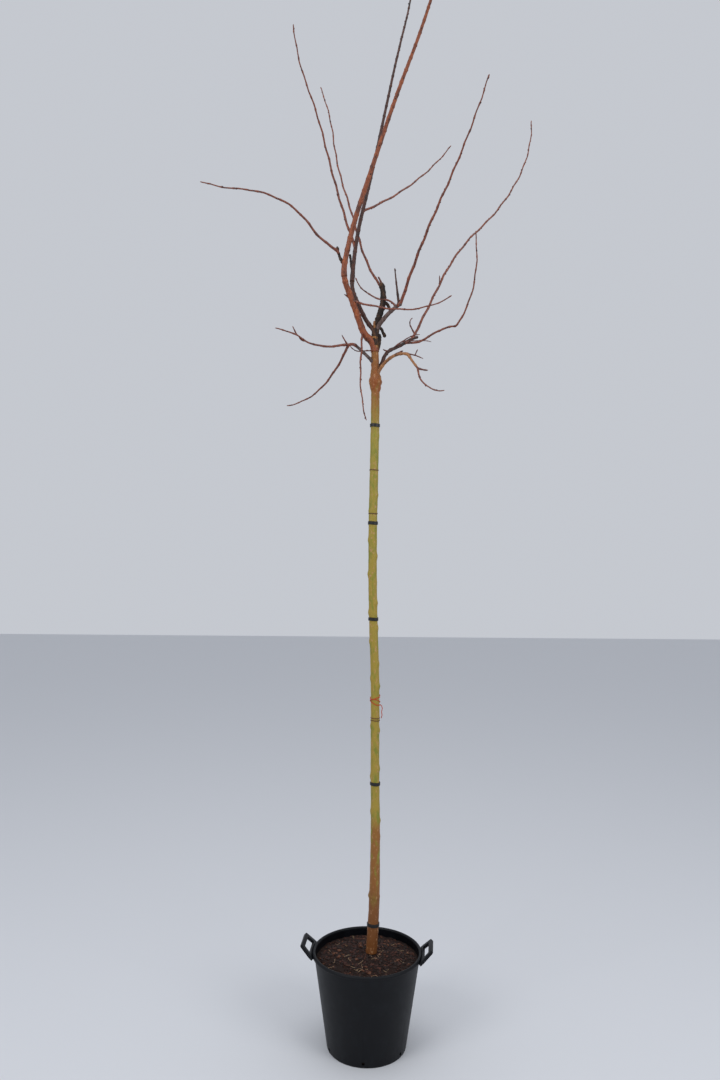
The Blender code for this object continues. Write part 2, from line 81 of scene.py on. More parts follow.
# Limbs and twigs: the limb that carries each one, where on it (0 at its foot, 1 at its end),
# the length, the leans (degrees from upright, + to the right) and the tilts to the back
# (degrees) at evenly spaced stations, the diameters at both ends, and the bark, which is a
# shoot's where none is named
Limb = namedtuple("Limb", "parent at length leans backs base tip bark", defaults=("shoot",))
LIMBS = {
    # Dead stump of the old leader at the fork, and the first limbs round it
    "dead_snag": Limb("stem", 1.0, 0.225, (10, 17, -19), (8, 7), 0.026, 0.020, "dead"),
    "leader_a_lower": Limb("stem", 0.99, 0.305, (-66, -20, -21, -23, -3), (-10, -11),
                         0.027, 0.020, "orange"),
    "leader_b_lower": Limb("dead_snag", 0.1, 0.245, (-48, -25, -23, 9), (6, 6), 0.017, 0.015, "dark"),
    "bough_right": Limb("dead_snag", 0.12, 0.145, (32, 46, 62), (-21, -19), 0.017, 0.014, "grey"),
    # Branches of the stem just below the fork
    "bough_low_right": Limb("stem", 0.945, 0.235, (52, 15, 66, 54, 75), (12, 12), 0.015, 0.011, "dark"),
    "bough_front": Limb("stem", 0.93, 0.185, (16, 51, 109), (-22, -26), 0.014, 0.010, "tan"),
    "bough_left": Limb("stem", 0.955, 0.115, (-45, -54), (-18, -18), 0.013, 0.011, "grey"),
    # The two leaders, on from their knots
    "leader_a_upper": Limb("leader_a_lower", 1.0, 1.570, (10, 19, 19, 22, 17, 12, 10), (-6, -12),
                           0.020, 0.005, "orange"),
    "leader_b_upper": Limb("leader_b_lower", 1.0, 1.655, (3, 13, 11, 11, 13, 4, 7), (7, 10),
                           0.016, 0.004, "dark"),
    # Dead and cut stubs
    "stub_stem": Limb("stem", 0.975, 0.080, (49, 1, -2), (9, 8), 0.012, 0.016, "dead"),
    "stub_snag_low": Limb("dead_snag", 0.23, 0.060, (129, 164), (19, 15), 0.009, 0.013, "dead"),
    "stub_snag_high": Limb("dead_snag", 0.66, 0.050, (113, 174), (11, 13), 0.013, 0.010, "dead"),
    "stub_fork": Limb("dead_snag", 0.12, 0.040, (-34, 15), (-32, -40), 0.011, 0.007, "tan"),
    "stub_a": Limb("leader_a_upper", 0.01, 0.080, (-35, -6), (4, 7), 0.011, 0.009, "dead"),
    "stub_b": Limb("leader_b_upper", 0.005, 0.090, (-9, -6), (13, 14), 0.010, 0.008, "dead"),
    "spike_right": Limb("bough_right", 0.91, 0.135, (-9, -7), (-11, -13), 0.010, 0.004, "dark"),
    # Young shoots of the left half
    "shoot_a_left": Limb("stub_a", 0.76, 0.585, (-68, -40, -74, -98, -82), (-25, -25), 0.009, 0.003),
    "shoot_b_left": Limb("leader_b_upper", 0.07, 0.825, (-20, -17, -15, -24, -5), (1, -30), 0.009, 0.003),
    "shoot_snag": Limb("dead_snag", 0.87, 0.960, (-33, -14, -17, -7, -21), (19, 6), 0.009, 0.003),
    "twig_back": Limb("bough_right", 0.82, 0.250, (-24, -74, -47, -23), (42, 11), 0.007, 0.003),
    "shoot_left": Limb("bough_left", 1.0, 0.345, (-107, -100, -62, -93), (-29, -36), 0.009, 0.003),
    "shoot_low_left": Limb("shoot_left", 0.07, 0.430, (-153, -133, -93), (46, 31), 0.009, 0.003),
    "shoot_hanging": Limb("leader_a_lower", 0.22, 0.385, (-176, -179, -195), (-33, -1), 0.007, 0.003),
    # Young shoots of the right half
    "shoot_b_right": Limb("leader_b_upper", 0.165, 0.520, (61, 34), (19, 16), 0.008, 0.003),
    "shoot_right": Limb("bough_right", 0.96, 0.825, (18, 26, 18), (-20, -25), 0.011, 0.003),
    "twig_cross": Limb("leader_a_lower", 0.61, 0.405, (113, 98, 62), (-19, -21), 0.007, 0.003),
    "shoot_far_right": Limb("bough_low_right", 0.89, 1.115, (26, 25, 45, 27, 0), (11, 10), 0.009, 0.003),
    "shoot_low_right": Limb("bough_low_right", 0.75, 0.220, (104, 56, 96), (-25, -27), 0.008, 0.006),
    "shoot_low_right_tip": Limb("shoot_low_right", 0.99, 0.355, (35, 8, -11), (-16, -16), 0.006, 0.003),
    "bough_front_end": Limb("bough_front", 0.97, 0.080, (153, 146), (-26, -28), 0.010, 0.008, "tan"),
    "twig_front_down": Limb("bough_front_end", 0.99, 0.170, (180, 138, 85), (-26, -31), 0.006, 0.003),
}
TWIGS = {
    "low_right_a": Limb("bough_low_right", 0.50, 0.121, (45, 62, 87), (-12, -12), 0.004, 0.002),
    "low_right_b": Limb("low_right_a", 0.40, 0.115, (79, 98), (10, 10), 0.003, 0.0016),
    "low_right_c": Limb("bough_low_right", 0.43, 0.027, (-100, -59), (-20, -20), 0.005, 0.003),
    "hook": Limb("shoot_far_right", 0.02, 0.080, (-27, -27, 60), (15, 15), 0.005, 0.002),
    "node_right": Limb("shoot_far_right", 0.23, 0.036, (-3, -3), (-5, -5), 0.004, 0.002),
    "front_stub": Limb("bough_front", 0.58, 0.054, (56, 67), (-15, -15), 0.007, 0.004),
    "front_a": Limb("bough_front", 1.0, 0.060, (101, 120), (-20, -20), 0.004, 0.002),
    "front_b": Limb("front_a", 0.40, 0.024, (24, 24), (-20, -20), 0.003, 0.002),
    "orange": Limb("bough_front_end", 0.97, 0.044, (122, 90), (-25, -25), 0.006, 0.004),
    "left_a": Limb("shoot_left", 0.62, 0.033, (-112, -45, -31), (-20, -20), 0.004, 0.002),
    "left_b": Limb("shoot_left", 0.73, 0.036, (-28, -28), (-15, -15), 0.004, 0.002),
    "left_c": Limb("shoot_left", 0.08, 0.043, (-33, -33), (-10, -10), 0.005, 0.002),
    "knot_left": Limb("leader_a_lower", 0.62, 0.035, (-57, -57), (-10, -10), 0.005, 0.003),
    "dark": Limb("stem", 0.98, 0.108, (-121, -98, -105, -67, -37), (-20, -20), 0.004, 0.002),
    "dark_hook": Limb("stem", 0.96, 0.027, (-81, -16), (-15, -15), 0.005, 0.003),
    "snag_spur": Limb("dead_snag", 0.96, 0.034, (-12, -39), (-5, -5), 0.007, 0.004),
}

# Stem, from the soil to the fork
STEM_FOOT_X = 0.016
STEM_FOOT_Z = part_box("stem")[0].z
STEM_LENGTH = 2.373
STEM_LEANS = (4, 0.5, -1, 0, -2.5, -0.5, 1, 0.5, -2.5)
STEM_DIAMETER = 0.033
STEM_FLARE = 0.010
STEM_FLARE_HEIGHT = 0.42
GRAFT_HEIGHT = 2.560
GRAFT_SWELL = 0.017
GRAFT_HALF_LENGTH = 0.028
SCION_DIAMETER = 0.0315
FORK_DIAMETER = 0.027
STEM_TURN_STEPS = 56

# Old bud knots of the stem: height, angle round the stem (degrees, 0 to the right and -90 to
# the front) and how far each one stands out
Knot = namedtuple("Knot", "height angle swell")
STEM_KNOTS = (
    Knot(2.346, -20, 0.004), Knot(2.119, -25, 0.005), Knot(2.057, 200, 0.004),
    Knot(1.945, 190, 0.005), Knot(1.883, -10, 0.005), Knot(1.814, 195, 0.007),
    Knot(1.704, -30, 0.006), Knot(1.667, 190, 0.005), Knot(1.606, -15, 0.005),
    Knot(1.556, 185, 0.004), Knot(1.467, -20, 0.005), Knot(1.413, 200, 0.005),
    Knot(1.382, -25, 0.008), Knot(1.228, 190, 0.005), Knot(1.212, -10, 0.005),
    Knot(1.150, -95, 0.003), Knot(1.066, -20, 0.006), Knot(1.035, 185, 0.005),
    Knot(0.900, 190, 0.004), Knot(0.865, -10, 0.005), Knot(0.804, -30, 0.004),
    Knot(0.576, 170, 0.006), Knot(1.780, 60, 0.005), Knot(1.520, 110, 0.005),
    Knot(1.320, 80, 0.006), Knot(0.980, 100, 0.005), Knot(2.250, 120, 0.004),
)
KNOT_LENGTH = 0.011
KNOT_WIDTH = math.radians(38)

# Pot
POT_HEIGHT = 0.364
RIM_RADIUS = 0.2115
BEAD_RADIUS = 0.0065
BEAD_DEPTH = 0.012
WALL_TOP_RADIUS = 0.2035
FOOT_RADIUS = 0.152
WALL_THICKNESS = 0.003
FLOOR_THICKNESS = 0.004
DRAIN_COUNT = 6
DRAIN_DIAMETER = 0.012
DRAIN_HEIGHT = 0.018
DRAIN_FIRST_ANGLE = math.radians(-155)

# Camera: it stands in front of the pot at about head height, in the photo's upright frame
CAMERA_PLACE = (-0.040, -3.32, 1.945)
CAMERA_ROLL = math.radians(0.45)
FRAME_HEIGHT_OVER_FOCAL = 1080 / 861
SENSOR_HEIGHT_MM = 36
FLOOR_REACH = 14.0

# Shoots bend a little from side to side at their nodes, and are a little fuller than their solids
KINK_SPACING = 0.050
KINK_DEPTH = 0.0035
KINK_FADE = 0.05
SHOOT_FULLNESS = 0.0005


# Skin of the stem: its rings and sides, and the relief of its bark
STEM_STEP = 0.003
STEM_SIDES = 28
STEM_TRIM = 0.0015
KNOT_REACH = 4 * KNOT_LENGTH
KNOT_FULLNESS = 0.6
WAVER_HEIGHT = 0.0008
WAVER_RATE = 28
STREAK_SHARE = 0.5
STREAK_RATE_ACROSS = 300
STREAK_RATE_ALONG = 70
UNION_LENGTH = 0.06
UNION_RELIEF = 0.0045
UNION_RATE = 75
WOUND_HEIGHT = 0.572
WOUND_LENGTH = 0.006
WOUND_SWELL = 0.0012

# Skins of the limbs and twigs: rings and sides, collars, nodes, ends and relief
BOUGH_STEP = 0.003
SHOOT_STEP = 0.004
TWIG_STEPS = 8
FEWEST_STEPS = 6
BOUGH_SIDES = 20
SHOOT_SIDES = 12
TWIG_SIDES = 8
BOUGH_DIAMETER = 0.013
SHOOT_DIAMETER = 0.009
BEND_REACH = 1.3
COLLAR_LENGTH = 0.014
COLLAR_SWELL = 0.22
NODE_LENGTH = 0.004
NODE_SWELL = 0.0009
TWIG_NODE_SPACING = 0.02
TWIG_RELIEF = 0.5
DEAD_WOOD_RELIEF = 3.0
RIDGE_RATE = 160
FINE_RIDGE_RATE = 420
FINE_RIDGE_SHARE = 0.5
FULL_RELIEF_RADIUS = 0.004
LEAST_RADIUS = 0.0006
BLUNT_END = 0.04
# A first direction round a line that runs this far along Y is taken along X
ALONG_Y = 0.9

# Buds
BUDDED_BARKS = ("shoot", "orange", "dark")
BUDDED_LENGTH = 0.03
BUD_TIP_GAP = 0.008
BUD_SIZE = 0.0022
BUD_SIZE_SPREAD = 0.0008
BUD_STRETCH = 1.9
BUD_POINT = 0.55
BUD_SEAT = 0.85
BUD_SPLAY = 0.9
BUD_SIDE = (0.3, -0.9, 0.2)

# Tie bands, healed rings and twine on the stem
BAND_COUNT = 5
BAND_WIDTH = 0.013
BAND_THICKNESS = 0.0020
BAND_GAP = 0.0010
BAND_STEPS = 56
BAND_TURNS = 1.08
BAND_START = -2.0
BAND_WAVER = 0.0008
BAND_LAP_SHARE = 0.1
BAND_LAP_LIFT = 0.0009
BAND_SHARP = math.radians(40)
RING_SCAR_HEIGHTS = (1.251, 1.260, 2.047, 2.215)
RING_SCAR_WIDTH = 0.0035
RING_SCAR_THICKNESS = 0.0007
TWINE_TOP = 1.345
TWINE_DROP = 0.030
TWINE_TURNS = 3
TWINE_STEPS = 96
TWINE_WAVER = 0.006
TWINE_WAVER_RATE = 1.3
TWINE_GAP = 0.0022
TWINE_RADIUS = 0.0016
TWINE_SIDES = 8
TWINE_FORWARD = 0.004
TWINE_END = ((0.006, 0.004), (0.009, 0.014), (0.006, 0.028), (0.008, 0.040), (0.005, 0.052))

# Fine shape of the pot's shell, its drain holes and its handles
SHELL_STEPS = 144
BEAD_STEPS = 12
INNER_CORNER = 0.004
LIP_SETBACK = 0.003
LIP_INNER = 0.004
LIP_EDGE = 0.001
LIP_RISE = 0.003
WALL_FULLNESS = 0.0008
WALL_BREAK_HEIGHT = 0.30
FOOT_BULGE = 0.0012
FOOT_BEND_HEIGHT = 0.006
FOOT_EDGE_HEIGHT = 0.002
FOOT_TUCK = 0.0015
SHELL_SHARP = math.radians(45)
DRAIN_SIDES = 28
WELD = 1e-5
HANDLE_FLAT = math.radians(2)
HANDLE_ROUNDING = 0.0032
HANDLE_ROUNDING_STEPS = 3
HANDLE_CREASE = math.radians(30)
HANDLE_SHARP = math.radians(50)

# Soil, bark chips and dry roots
SOIL_EDGE = 0.334
SOIL_SEAT_RADIUS = 0.050
SOIL_WALL_GAP = 0.0004
SOIL_RINGS = 90
SOIL_SPOKES = 220
SOIL_SINK = 0.002
SOIL_MIDDLE_SINK = 0.001
SOIL_FOOT_SHARE = 0.745
SOIL_CRUMBS = ((0.0035, 45), (0.0022, 130), (0.0010, 330))
CHIP_LENGTH = 0.004
CHIP_LENGTH_SPREAD = 0.012
CHIP_WIDTHS = (0.35, 0.7)
CHIP_THICKNESS = 0.0022
CHIP_THICKNESS_SPREAD = 0.0012
CHIP_TILT = 0.45
CHIP_SINK = 0.0012
CHIP_RAGGEDNESS = 0.084
CHIP_MARGIN = 0.006
CHIP_SHARP = math.radians(35)
ROOT_COUNT = 30
ROOT_MARGIN = 0.03
ROOT_LENGTHS = (0.010, 0.032)
ROOT_STEPS = 6
ROOT_TURN = 0.25
ROOT_LIFT = 0.0006
ROOT_RADIUS = 0.0006
ROOT_SIDES = 5
ROOT_WALL_GAP = 0.004

# Lights: name, place, the point each one faces, size and power in watts
Lamp = namedtuple("Lamp", "name place target size power")
LAMPS = (
    Lamp("key_left", (-3.2, -3.2, 4.2), (0.0, 0.0, 1.9), 2.2, 75),
    Lamp("key_right", (3.2, -3.0, 3.4), (0.0, 0.0, 1.6), 2.2, 58),
    Lamp("top_soft", (0.0, -0.6, 6.6), (0.0, 0.0, 0.0), 3.0, 50),
)
AIR_COLOUR = "E4E8F0"
AIR_STRENGTH = 0.72
FLOOR_COLOUR = "D6D8DC"


class TreeSettings(bpy.types.PropertyGroup):
    """Bark and crown."""
    bud_spacing: bpy.props.FloatProperty(
        name="Bud spacing", description="Distance between the buds of a shoot",
        default=0.045, min=0.01, unit="LENGTH")
    bark_relief: bpy.props.FloatProperty(
        name="Bark relief", description="How far the bark's ridges stand out",
        default=0.0007, min=0.0, unit="LENGTH")
    stem_colour: bpy.props.StringProperty(
        name="Stem", description="Ochre bark of the stem, as sRGB hex", default="9A8430")
    stem_green: bpy.props.StringProperty(
        name="Stem green", description="Green film on the stem, as sRGB hex", default="7C7C26")


class PotSettings(bpy.types.PropertyGroup):
    """Pot and potting bark."""
    plastic_colour: bpy.props.StringProperty(
        name="Plastic", description="Recycled polypropylene, as sRGB hex", default="080A0F")
    chip_count: bpy.props.IntProperty(
        name="Bark chips", description="Loose bark chips on the soil", default=1500, min=0)
    soil_colour: bpy.props.StringProperty(
        name="Soil", description="Damp composted bark, as sRGB hex", default="1C0F0A")


def linear_colour(hex_code):
    """An sRGB hex code as linear RGBA."""
    channels = [int(hex_code[i:i + 2], 16) / 255 for i in (0, 2, 4)]
    linear = [c / 12.92 if c <= 0.04045 else ((c + 0.055) / 1.055) ** 2.4 for c in channels]
    return (*linear, 1.0)


def add_node(tree, kind, settings=None, **inputs):
    """Add a node, set its properties and its sockets, and link sockets given as outputs."""
    node = tree.nodes.new(kind)
    for key, value in (settings or {}).items():
        setattr(node, key, value)
    for key, value in inputs.items():
        socket = node.inputs[int(key[1:])] if key[1:].isdigit() else node.inputs[key.replace("_", " ")]
        if isinstance(value, bpy.types.NodeSocket):
            tree.links.new(value, socket)
        else:
            socket.default_value = value
    return node


def ramp_stops(node, stops):
    """Set a colour ramp's stops from (place, hex) pairs."""
    ramp = node.color_ramp
    while len(ramp.elements) < len(stops):
        ramp.elements.new(0.5)
    for element, (place, hex_code) in zip(ramp.elements, stops):
        element.position = place
        element.color = linear_colour(hex_code)


def new_material(name, roughness, specular=0.5, coat=0.0):
    """A material with its Principled shader, ready for nodes."""
    material = bpy.data.materials.new(name)
    material.use_nodes = True
    shader = material.node_tree.nodes["Principled BSDF"]
    shader.inputs["Roughness"].default_value = roughness
    shader.inputs["Specular IOR Level"].default_value = specular
    shader.inputs["Coat Weight"].default_value = coat
    shader.inputs["Coat Roughness"].default_value = 0.25
    return material, material.node_tree, shader


def patch_noise(tree, patch_mm, stretch=1.0, detail=4.0):
    """Noise whose patches measure patch_mm across and stretch times that along Z."""
    place = add_node(tree, "ShaderNodeTexCoord").outputs["Object"]
    scale = add_node(tree, "ShaderNodeMapping", None, Vector=place, Scale=(1.0, 1.0, 1.0 / stretch))
    return add_node(tree, "ShaderNodeTexNoise", None, Vector=scale.outputs[0],
                    Scale=1000.0 / patch_mm, Detail=detail).outputs["Fac"]


def patches(tree, patch_mm, low, high, stretch=1.0, detail=4.0, most=1.0):
    """A share from 0 to most that rises where noise in patches of patch_mm goes from low to high."""
    value = patch_noise(tree, patch_mm, stretch, detail)
    return add_node(tree, "ShaderNodeMapRange", None, Value=value, From_Min=low, From_Max=high,
                    To_Max=most).outputs["Result"]


def layer_colours(tree, shader, base, layers):
    """Colour the surface with a base and lay each (share, sRGB hex) over it in turn."""
    colour = base
    for share, hex_code in layers:
        colour = add_node(tree, "ShaderNodeMix", {"data_type": "RGBA"}, _0=share, _6=colour,
                          _7=linear_colour(hex_code)).outputs[2]
    tree.links.new(colour, shader.inputs["Base Color"])


def bump_from(tree, shader, height, depth_mm):
    """Raise the surface by a pattern, depth_mm from its low to its high places."""
    bump = add_node(tree, "ShaderNodeBump", None, Height=height, Distance=depth_mm / 1000.0,
                    Strength=1.0)
    tree.links.new(bump.outputs["Normal"], shader.inputs["Normal"])


def stem_bark_material(settings):
    """Smooth young bark, grown: rust-brown at the foot and the graft, ochre with green film between."""
    material, tree, shader = new_material("young_stem_bark_grown", 0.52, 0.4)
    place = add_node(tree, "ShaderNodeTexCoord").outputs["Object"]
    height = add_node(tree, "ShaderNodeSeparateXYZ", None, Vector=place).outputs["Z"]
    wobble = add_node(tree, "ShaderNodeMath", {"operation": "MULTIPLY_ADD"},
                      _0=patch_noise(tree, 30, 2), _1=0.10, _2=height).outputs[0]
    share = add_node(tree, "ShaderNodeMapRange", None, Value=wobble, From_Min=0.35,
                     From_Max=2.75).outputs["Result"]
    along = add_node(tree, "ShaderNodeValToRGB", None, Fac=share)
    ramp_stops(along, ((0.0, "6E3F1A"), (0.105, "7A4A1C"), (0.13, "86541F"), (0.205, "8A5A22"),
                       (0.22, "8A5A22"), (0.245, settings.stem_colour), (0.60, settings.stem_colour),
                       (0.86, "948530"), (0.925, "8A4A1A"), (1.0, "86561F")))
    above_foot = add_node(tree, "ShaderNodeMapRange", None, Value=height, From_Min=0.50,
                          From_Max=0.72).outputs["Result"]
    below_graft = add_node(tree, "ShaderNodeMapRange", None, Value=height, From_Min=2.42,
                           From_Max=2.56, To_Min=1.0, To_Max=0.15).outputs["Result"]
    shown = add_node(tree, "ShaderNodeMath", {"operation": "MULTIPLY"}, _0=above_foot,
                     _1=below_graft).outputs[0]
    film = add_node(tree, "ShaderNodeMath", {"operation": "MULTIPLY"},
                    _0=patches(tree, 16, 0.50, 0.66, 3.0), _1=shown).outputs[0]
    tan = patches(tree, 9, 0.57, 0.72, 1.4, most=0.75)
    specks = patches(tree, 2.5, 0.68, 0.74, 0.5, 1.0, 0.6)
    layers = ((film, settings.stem_green), (tan, "B98A62"), (specks, "4A3A18"))
    layer_colours(tree, shader, along.outputs["Color"], layers)
    bump_from(tree, shader, patch_noise(tree, 3, 4), 0.5)
    return material


def bark_material(name, base, light, dark, roughness, furrow_mm, depth_mm, coat=0.0):
    """Bark of a limb: a base colour with lighter streaks and darker patches along it."""
    material, tree, shader = new_material(name, roughness, 0.45, coat)
    streaks = patches(tree, furrow_mm * 2, 0.48, 0.70, 2.5)
    shadows = patches(tree, furrow_mm * 5, 0.50, 0.68, 1.5)
    layer_colours(tree, shader, linear_colour(base), ((streaks, light), (shadows, dark)))
    bump_from(tree, shader, patch_noise(tree, furrow_mm, 3.5), depth_mm)
    return material


def limb_barks():
    """The six barks of the crown, by their names in the limb table."""
    return {
        # Rust-orange bark of the strong leader, with a dull shine
        "orange": bark_material("ridged_leader_bark_grown", "7E3E1E", "9C5228", "4E2412", 0.50, 4, 0.6),
        # Dark bark of the older boughs
        "dark": bark_material("dark_bough_bark_grown", "3A1D14", "5A3020", "20100B", 0.55, 4, 0.5),
        # Grey film over mauve bark
        "grey": bark_material("grey_bough_bark_weathered", "54403A", "77605A", "33241F", 0.60, 4, 0.5),
        # Tan bark rubbed to orange
        "tan": bark_material("tan_bough_bark_grown", "8A5A34", "B07A48", "5C3A20", 0.55, 4, 0.5),
        # Dead wood whose bark flakes off in dark plates
        "dead": bark_material("dead_wood_weathered", "24160F", "5A3C24", "120B08", 0.80, 5, 1.6),
        # Red-brown skin of last year's shoots, smooth with a satin shine
        "shoot": bark_material("young_shoot_skin_grown", "6E321C", "8A4626", "4A2014",
                               0.42, 3, 0.3, 0.15),
    }


def heading(lean, back):
    """The direction that leans to the right of upright and tilts to the back, in degrees."""
    right = math.radians(lean)
    away = math.radians(back)
    level = math.cos(away)
    return Vector((math.sin(right) * level, math.sin(away), math.cos(right) * level))


def at_station(values, share):
    """The value at a share of the way along evenly spaced stations."""
    place = share * (len(values) - 1)
    index = min(int(place), len(values) - 2)
    return values[index] + (values[index + 1] - values[index]) * (place - index)


def run_line(start, length, leans, backs, steps):
    """Points of a line that turns evenly through its leans and tilts."""
    points = [Vector(start)]
    for i in range(steps):
        share = (i + 0.5) / steps
        way = heading(at_station(leans, share), at_station(backs, share))
        points.append(points[-1] + way * (length / steps))
    return points


def point_on(line, share):
    """The point at a share of the way along a line of even steps."""
    place = share * (len(line) - 1)
    index = min(int(place), len(line) - 2)
    return line[index].lerp(line[index + 1], place - index)


def stem_radius(height):
    """The stem's radius at a height above the ground."""
    above_soil = height - STEM_FOOT_Z
    stock = STEM_DIAMETER + STEM_FLARE * math.exp(-((above_soil / STEM_FLARE_HEIGHT) ** 2))
    swell = GRAFT_SWELL * math.exp(-(((height - GRAFT_HEIGHT) / GRAFT_HALF_LENGTH) ** 2))
    if height <= GRAFT_HEIGHT:
        return (stock + swell) / 2
    share = (height - GRAFT_HEIGHT) / (STEM_FOOT_Z + STEM_LENGTH - GRAFT_HEIGHT)
    return (SCION_DIAMETER + (FORK_DIAMETER - SCION_DIAMETER) * min(share, 1.0) + swell) / 2


def ring_axes(way, across):
    """Two directions square to the way, the first as near as can be to the one before."""
    side = (across - way * across.dot(way)).normalized()
    return side, way.cross(side)


def skin(shape, points, radius_at, sides):
    """Add a closed tube through the points; radius_at gives a point's radius from its index,
    its angle round the tube and its place."""
    clear_of_y = abs((points[1] - points[0]).normalized().y) < ALONG_Y
    across = Vector((0.0, -1.0, 0.0)) if clear_of_y else Vector((1.0, 0.0, 0.0))
    rings = []
    for i, centre in enumerate(points):
        way = (points[min(i + 1, len(points) - 1)] - points[max(i - 1, 0)]).normalized()
        across, other = ring_axes(way, across)
        ring = []
        for k in range(sides):
            angle = math.tau * k / sides
            out = across * math.cos(angle) + other * math.sin(angle)
            ring.append(shape.verts.new(centre + out * radius_at(i, angle, centre, out)))
        rings.append(ring)
    for low, high in zip(rings, rings[1:]):
        for k in range(sides):
            n = (k + 1) % sides
            shape.faces.new((low[k], low[n], high[n], high[k]))
    shape.faces.new(list(reversed(rings[0])))
    shape.faces.new(rings[-1])


def new_object(name, data):
    """An object in the scene that holds the data."""
    item = bpy.data.objects.new(name, data)
    bpy.context.scene.collection.objects.link(item)
    return item


def seat_piece(item, nodes=()):
    """Let the piece ride on the body and replace its nodes."""
    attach(item, BODY)
    if nodes:
        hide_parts(*nodes)


def finish_piece(name, shape, material, nodes=()):
    """Turn the bmesh into a smooth piece that rides on the body and replaces its nodes."""
    bmesh.ops.recalc_face_normals(shape, faces=shape.faces)
    mesh = bpy.data.meshes.new(name)
    shape.to_mesh(mesh)
    shape.free()
    mesh.materials.append(material)
    mesh.shade_smooth()
    item = new_object(name, mesh)
    seat_piece(item, nodes)
    return item


def stem_points():
    """Centre line of the stem."""
    start = (STEM_FOOT_X, 0.0, STEM_FOOT_Z)
    return run_line(start, STEM_LENGTH, STEM_LEANS, (0, 0), STEM_TURN_STEPS)


def fine_line(limb, parent, step):
    """The limb's centre line in fine steps, from inside the limb that carries it."""
    steps = max(FEWEST_STEPS, round(limb.length / step))
    points = run_line(point_on(parent, limb.at), limb.length, limb.leans, limb.backs, steps)
    return kinked(points, limb.length) if limb.bark == "shoot" else points


def kinked(points, length):
    """The line bent a little from side to side between its nodes, in the plane of its leans."""
    bent = []
    for i, point in enumerate(points):
        along = length * i / (len(points) - 1)
        way = (points[min(i + 1, len(points) - 1)] - points[max(i - 1, 0)]).normalized()
        wave = abs((along / KINK_SPACING) % 2 - 1) - 0.5
        side = way.cross(Vector((0.0, 1.0, 0.0))) * min(1.0, along / KINK_FADE)
        bent.append(point + side * KINK_DEPTH * wave)
    return bent


def grown_line(limb, points, parent, parent_length):
    """The same line with its start drawn out of the limb that carries it in a soft bend."""
    reach = BEND_REACH * limb.base
    inside = point_on(parent, max(0.0, limb.at - reach / parent_length))
    first = min(len(points) - 2, max(1, round(reach / (limb.length / (len(points) - 1)))))
    bend = []
    for i in range(first):
        share = i / first
        low = inside.lerp(points[0], share)
        bend.append(low.lerp(points[0].lerp(points[first], share), share))
    return bend + points[first:]


def limb_radius(limb, points, relief, spacing, phase):
    """A function for the radius of a limb's skin: taper, collar, bud swellings and relief."""
    count = len(points) - 1
    step = limb.length / count
    rough = DEAD_WOOD_RELIEF if limb.bark == "dead" else 1.0
    fullness = SHOOT_FULLNESS if limb.bark == "shoot" else 0.0

    def radius_at(i, angle, place, out):
        along = i * step
        radius = (limb.base + (limb.tip - limb.base) * i / count) / 2 + fullness
        radius *= 1 + COLLAR_SWELL * math.exp(-along / COLLAR_LENGTH)
        near_bud = abs((along / spacing + phase + 0.5) % 1.0 - 0.5) * spacing
        node = math.exp(-((near_bud / NODE_LENGTH) ** 2))
        radius += NODE_SWELL * node * (limb.base / SHOOT_DIAMETER) ** 0.5
        spot = place + out * radius
        ridge = noise.noise(spot * RIDGE_RATE)
        ridge += FINE_RIDGE_SHARE * noise.noise(spot * FINE_RIDGE_RATE)
        radius += relief * rough * ridge * min(1.0, radius / FULL_RELIEF_RADIUS)
        to_end = (count - i) * step
        if to_end < radius:
            radius *= math.sqrt(max(BLUNT_END, 1 - (1 - to_end / radius) ** 2))
        return max(radius, LEAST_RADIUS)

    return radius_at


def all_lines():
    """Centre lines of the stem and of every limb and twig, in fine even steps."""
    lines = {"stem": stem_points()}
    for name, limb in {**LIMBS, **TWIGS}.items():
        step = BOUGH_STEP if limb.base >= BOUGH_DIAMETER else SHOOT_STEP
        lines[name] = fine_line(limb, lines[limb.parent], min(step, limb.length / TWIG_STEPS))
    return lines


class TREE_OT_stem(bpy.types.Operator):
    """Build the stem with its knots and graft"""
    bl_idname = "tree.stem"
    bl_label = "Stem"

    def execute(self, context):
        settings = context.scene.tree_settings
        line = stem_points()
        count = round(STEM_LENGTH / STEM_STEP)
        points = [point_on(line, i / count) for i in range(count + 1)]
        foot = points[0].z

        def radius_at(i, angle, place, out):
            radius = stem_radius(place.z)
            bearing = math.atan2(out.y, out.x)
            for knot in STEM_KNOTS:
                rise = place.z - knot.height
                if abs(rise) < KNOT_REACH:
                    turn = (bearing - math.radians(knot.angle) + math.pi) % math.tau - math.pi
                    lift = math.exp(-((rise / KNOT_LENGTH) ** 2) - (turn / KNOT_WIDTH) ** 2)
                    radius += knot.swell * KNOT_FULLNESS * lift
            spot = place + out * radius
            radius += WAVER_HEIGHT * noise.noise(spot * WAVER_RATE)
            streak = spot * STREAK_RATE_ACROSS
            streak.z = spot.z * STREAK_RATE_ALONG
            radius += settings.bark_relief * STREAK_SHARE * noise.noise(streak)
            union = math.exp(-(((place.z - GRAFT_HEIGHT) / UNION_LENGTH) ** 2))
            radius += union * UNION_RELIEF * noise.noise(spot * UNION_RATE)
            wound = math.exp(-(((place.z - WOUND_HEIGHT) / WOUND_LENGTH) ** 2))
            return radius + WOUND_SWELL * wound

        shape = bmesh.new()
        skin(shape, points, radius_at, STEM_SIDES)
        for vertex in shape.verts:
            if vertex.co.z < foot + STEM_TRIM:
                vertex.co.z = foot
        bark = stem_bark_material(settings)
        finish_piece("stem_bark_skin", shape, bark, ("stem",))
        return {"FINISHED"}


